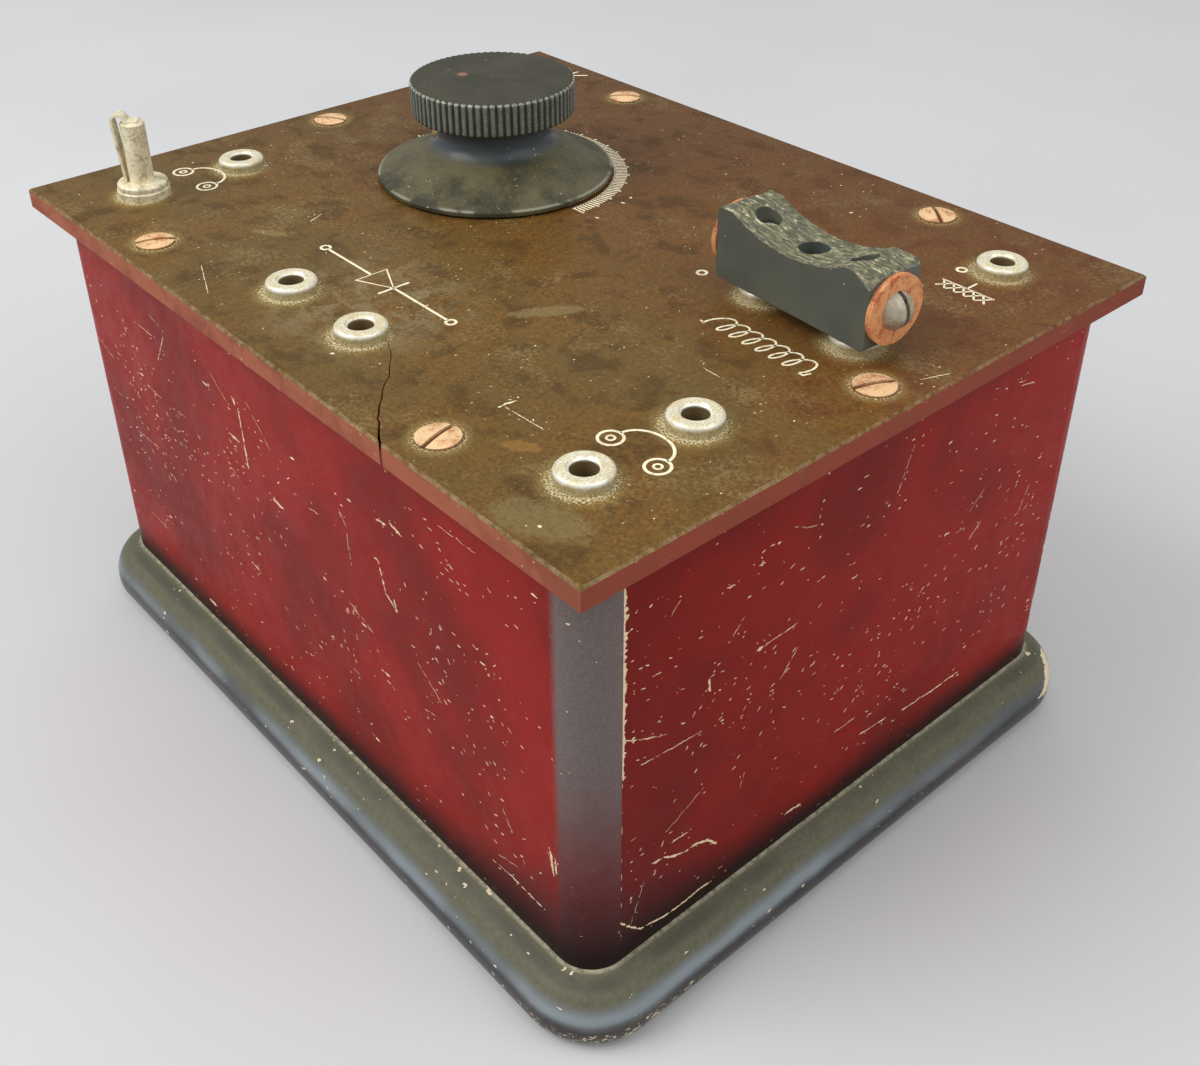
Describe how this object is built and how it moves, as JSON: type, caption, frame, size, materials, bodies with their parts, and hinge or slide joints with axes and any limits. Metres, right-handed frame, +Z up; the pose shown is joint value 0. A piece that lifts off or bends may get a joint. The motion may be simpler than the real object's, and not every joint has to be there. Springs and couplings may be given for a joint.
{
  "type": "crystal radio",
  "caption": "Table crystal receiver: painted wooden box on a moulded base, dark panel with plug sockets, fluted tuning knob on a skirt and a plug-in coil block.",
  "frame": {"origin": "middle of the base board's underside", "axes": "+X to the right along the long front, +Y to the back, +Z up"},
  "size_m": [0.161, 0.127, 0.1094],
  "materials": {
    "case_paint": "worn dark red paint",
    "base_lacquer": "worn black gloss lacquer",
    "panel_board": "aged brown hard rubber, satin",
    "ebonite": "greyed black hard rubber",
    "nickel": "worn nickel plate",
    "brass_parts": "plain turned brass",
    "screw_metal": "tarnished coppery brass",
    "rusty_washer": "rusty copper-plated steel",
    "steel": "dull steel",
    "plates": "plain sheet aluminium",
    "pressed_block": "brown pressed insulation",
    "tinned_wire": "tinned copper"
  },
  "bodies": {
    "case": {"base_board": "base_lacquer", "front_wall": "case_paint", "back_wall": "case_paint", "left_wall": "case_paint", "right_wall": "case_paint", "base_screws": "screw_metal", "panel": "panel_board", "panel_screws": "screw_metal", "detector_socket_left": "nickel", "detector_socket_right": "nickel", "phone_socket_left": "nickel", "phone_socket_right_front": "nickel", "phone_socket_right_rear": "nickel", "coil_socket_left": "nickel", "coil_socket_right": "nickel", "aerial_socket": "nickel", "earth_socket": "nickel", "contact_pin": "nickel", "bow_spring": "nickel", "socket_nuts": "brass_parts", "solder_tags": "brass_parts", "lock_nuts": "brass_parts", "bearing_bush": "brass_parts", "bush_nut": "brass_parts", "stator_plates": "plates", "stator_spacers": "brass_parts", "stator_posts": "brass_parts", "post_nuts": "brass_parts", "upper_end_plate": "ebonite", "lower_end_plate": "ebonite", "lower_bearing": "brass_parts", "rotor_contact": "brass_parts", "mica_condenser": "pressed_block", "mica_straps": "brass_parts", "aerial_wire": "tinned_wire", "stator_wire": "tinned_wire", "detector_wire": "tinned_wire", "phone_wire_left": "tinned_wire", "phone_wire_right": "tinned_wire", "phone_return_wire": "tinned_wire", "coil_return_wire": "tinned_wire", "earth_wire": "tinned_wire", "rotor_wire": "tinned_wire"},
    "tuner": {"tuning_knob": "ebonite", "grub_screw": "brass_parts", "spindle": "steel", "spindle_collar": "brass_parts", "rotor_plates": "plates", "rotor_spacers": "brass_parts", "rotor_nut": "brass_parts"},
    "coil_plug": {"coil_block": "ebonite", "coil_pin_left": "nickel", "coil_pin_right": "nickel", "coil_washer_left": "rusty_washer", "coil_washer_right": "rusty_washer", "coil_end_screw_left": "steel", "coil_end_screw_right": "steel"}
  },
  "joints": [
    {"name": "tuning", "type": "hinge", "parent": "case", "child": "tuner", "pos_m": [-0.0268, 0.0084, 0.1], "axis": [0, 0, 1], "range_deg": [0, 180]},
    {"name": "coil_lift", "type": "slide", "parent": "case", "child": "coil_plug", "axis": [0, 0, 1], "range_m": [0, 0.02]}
  ]
}
